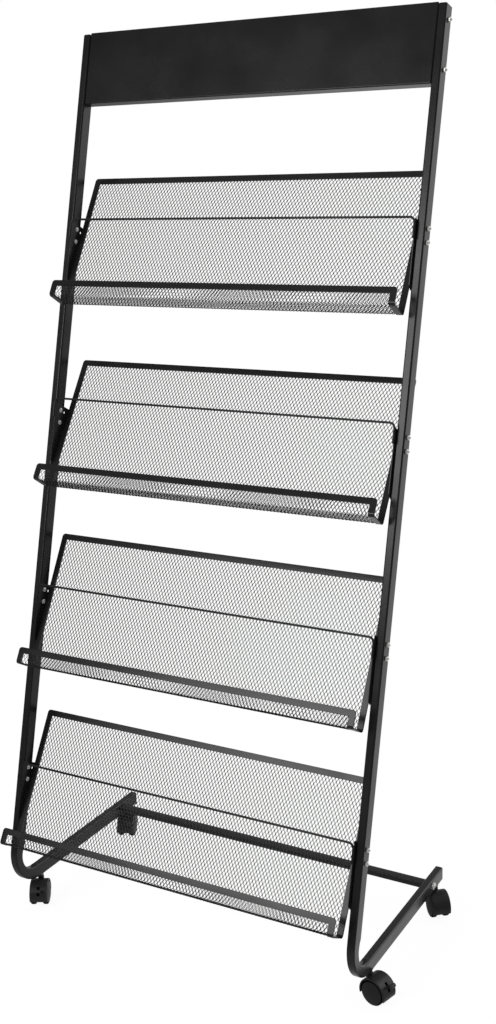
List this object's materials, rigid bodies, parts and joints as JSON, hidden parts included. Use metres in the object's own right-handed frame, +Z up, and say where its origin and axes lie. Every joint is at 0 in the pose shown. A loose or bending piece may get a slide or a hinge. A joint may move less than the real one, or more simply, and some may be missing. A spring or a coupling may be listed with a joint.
{
  "type": "periodical display rack",
  "caption": "Leaning mobile display rack: tilted mesh trays for periodicals between bent tube side frames, with a header panel, a rear crossbar and swivel casters.",
  "frame": {"origin": "on the floor, under the middle of the bounding box", "axes": "+Z up, -Y towards the person in front of the trays, +X to that person's right"},
  "size_m": [0.6802, 0.3992, 1.4421],
  "materials": {
    "powder_coat": "satin black powder coat",
    "mesh": "satin black powder coat on expanded steel",
    "plastic": "moulded black plastic",
    "wheel": "moulded black plastic",
    "zinc": "bright zinc plate"
  },
  "bodies": {
    "frame": {"left_side_frame": "powder_coat", "left_post_cap": "plastic", "left_foot_cap": "plastic", "header_left_upper_bolt": "zinc", "header_left_lower_bolt": "zinc", "crossbar_left_bolt": "zinc", "right_side_frame": "powder_coat", "right_post_cap": "plastic", "right_foot_cap": "plastic", "header_right_upper_bolt": "zinc", "header_right_lower_bolt": "zinc", "crossbar_right_bolt": "zinc", "header_panel": "powder_coat", "rear_crossbar": "powder_coat", "bottom_tray_mesh": "mesh", "bottom_tray_rim": "powder_coat", "bottom_tray_left_bracket": "powder_coat", "bottom_tray_right_bracket": "powder_coat", "bottom_tray_wire": "powder_coat", "lower_tray_mesh": "mesh", "lower_tray_rim": "powder_coat", "lower_tray_left_bracket": "powder_coat", "lower_tray_right_bracket": "powder_coat", "lower_tray_wire": "powder_coat", "upper_tray_mesh": "mesh", "upper_tray_rim": "powder_coat", "upper_tray_left_bracket": "powder_coat", "upper_tray_right_bracket": "powder_coat", "upper_tray_wire": "powder_coat", "top_tray_mesh": "mesh", "top_tray_rim": "powder_coat", "top_tray_left_bracket": "powder_coat", "top_tray_right_bracket": "powder_coat", "top_tray_wire": "powder_coat", "front_left_caster_stem": "zinc", "front_right_caster_stem": "zinc", "rear_left_caster_stem": "zinc", "rear_right_caster_stem": "zinc"},
    "front_left_swivel": {"front_left_caster_hood": "plastic", "front_left_caster_axle": "zinc"},
    "front_left_left_wheel": {"front_left_caster_left_wheel": "wheel"},
    "front_left_right_wheel": {"front_left_caster_right_wheel": "wheel"},
    "front_left_brake": {"front_left_caster_brake_lever": "plastic"},
    "front_right_swivel": {"front_right_caster_hood": "plastic", "front_right_caster_axle": "zinc"},
    "front_right_left_wheel": {"front_right_caster_left_wheel": "wheel"},
    "front_right_right_wheel": {"front_right_caster_right_wheel": "wheel"},
    "front_right_brake": {"front_right_caster_brake_lever": "plastic"},
    "rear_left_swivel": {"rear_left_caster_hood": "plastic", "rear_left_caster_axle": "zinc"},
    "rear_left_left_wheel": {"rear_left_caster_left_wheel": "wheel"},
    "rear_left_right_wheel": {"rear_left_caster_right_wheel": "wheel"},
    "rear_right_swivel": {"rear_right_caster_hood": "plastic", "rear_right_caster_axle": "zinc"},
    "rear_right_left_wheel": {"rear_right_caster_left_wheel": "wheel"},
    "rear_right_right_wheel": {"rear_right_caster_right_wheel": "wheel"}
  },
  "joints": [
    {"name": "front_left_swivel_turn", "type": "hinge", "parent": "frame", "child": "front_left_swivel", "pos_m": [-0.32355, -0.09144, 0.044], "axis": [0, 0, 1], "continuous": true},
    {"name": "front_left_left_wheel_roll", "type": "hinge", "parent": "front_left_swivel", "child": "front_left_left_wheel", "pos_m": [-0.31651, -0.10469, 0.02], "axis": [0.8829, 0.4695, 0], "continuous": true},
    {"name": "front_left_right_wheel_roll", "type": "hinge", "parent": "front_left_swivel", "child": "front_left_right_wheel", "pos_m": [-0.31651, -0.10469, 0.02], "axis": [0.8829, 0.4695, 0], "continuous": true},
    {"name": "front_left_brake_press", "type": "hinge", "parent": "front_left_swivel", "child": "front_left_brake", "pos_m": [-0.31093, -0.11517, 0.02742], "axis": [0.8829, 0.4695, 0], "range_deg": [0, 14]},
    {"name": "front_right_swivel_turn", "type": "hinge", "parent": "frame", "child": "front_right_swivel", "pos_m": [0.29345, -0.09144, 0.044], "axis": [0, 0, 1], "continuous": true},
    {"name": "front_right_left_wheel_roll", "type": "hinge", "parent": "front_right_swivel", "child": "front_right_left_wheel", "pos_m": [0.30801, -0.09507, 0.02], "axis": [0.2419, 0.9703, 0], "continuous": true},
    {"name": "front_right_right_wheel_roll", "type": "hinge", "parent": "front_right_swivel", "child": "front_right_right_wheel", "pos_m": [0.30801, -0.09507, 0.02], "axis": [0.2419, 0.9703, 0], "continuous": true},
    {"name": "front_right_brake_press", "type": "hinge", "parent": "front_right_swivel", "child": "front_right_brake", "pos_m": [0.31953, -0.09794, 0.02742], "axis": [0.2419, 0.9703, 0], "range_deg": [0, 14]},
    {"name": "rear_left_swivel_turn", "type": "hinge", "parent": "frame", "child": "rear_left_swivel", "pos_m": [-0.32355, 0.17956, 0.044], "axis": [0, 0, 1], "continuous": true},
    {"name": "rear_left_left_wheel_roll", "type": "hinge", "parent": "rear_left_swivel", "child": "rear_left_left_wheel", "pos_m": [-0.31817, 0.16556, 0.02], "axis": [0.9336, 0.3584, 0], "continuous": true},
    {"name": "rear_left_right_wheel_roll", "type": "hinge", "parent": "rear_left_swivel", "child": "rear_left_right_wheel", "pos_m": [-0.31817, 0.16556, 0.02], "axis": [0.9336, 0.3584, 0], "continuous": true},
    {"name": "rear_right_swivel_turn", "type": "hinge", "parent": "frame", "child": "rear_right_swivel", "pos_m": [0.29345, 0.17956, 0.044], "axis": [0, 0, 1], "continuous": true},
    {"name": "rear_right_left_wheel_roll", "type": "hinge", "parent": "rear_right_swivel", "child": "rear_right_left_wheel", "pos_m": [0.30329, 0.16824, 0.02], "axis": [0.7547, 0.6561, 0], "continuous": true},
    {"name": "rear_right_right_wheel_roll", "type": "hinge", "parent": "rear_right_swivel", "child": "rear_right_right_wheel", "pos_m": [0.30329, 0.16824, 0.02], "axis": [0.7547, 0.6561, 0], "continuous": true}
  ]
}
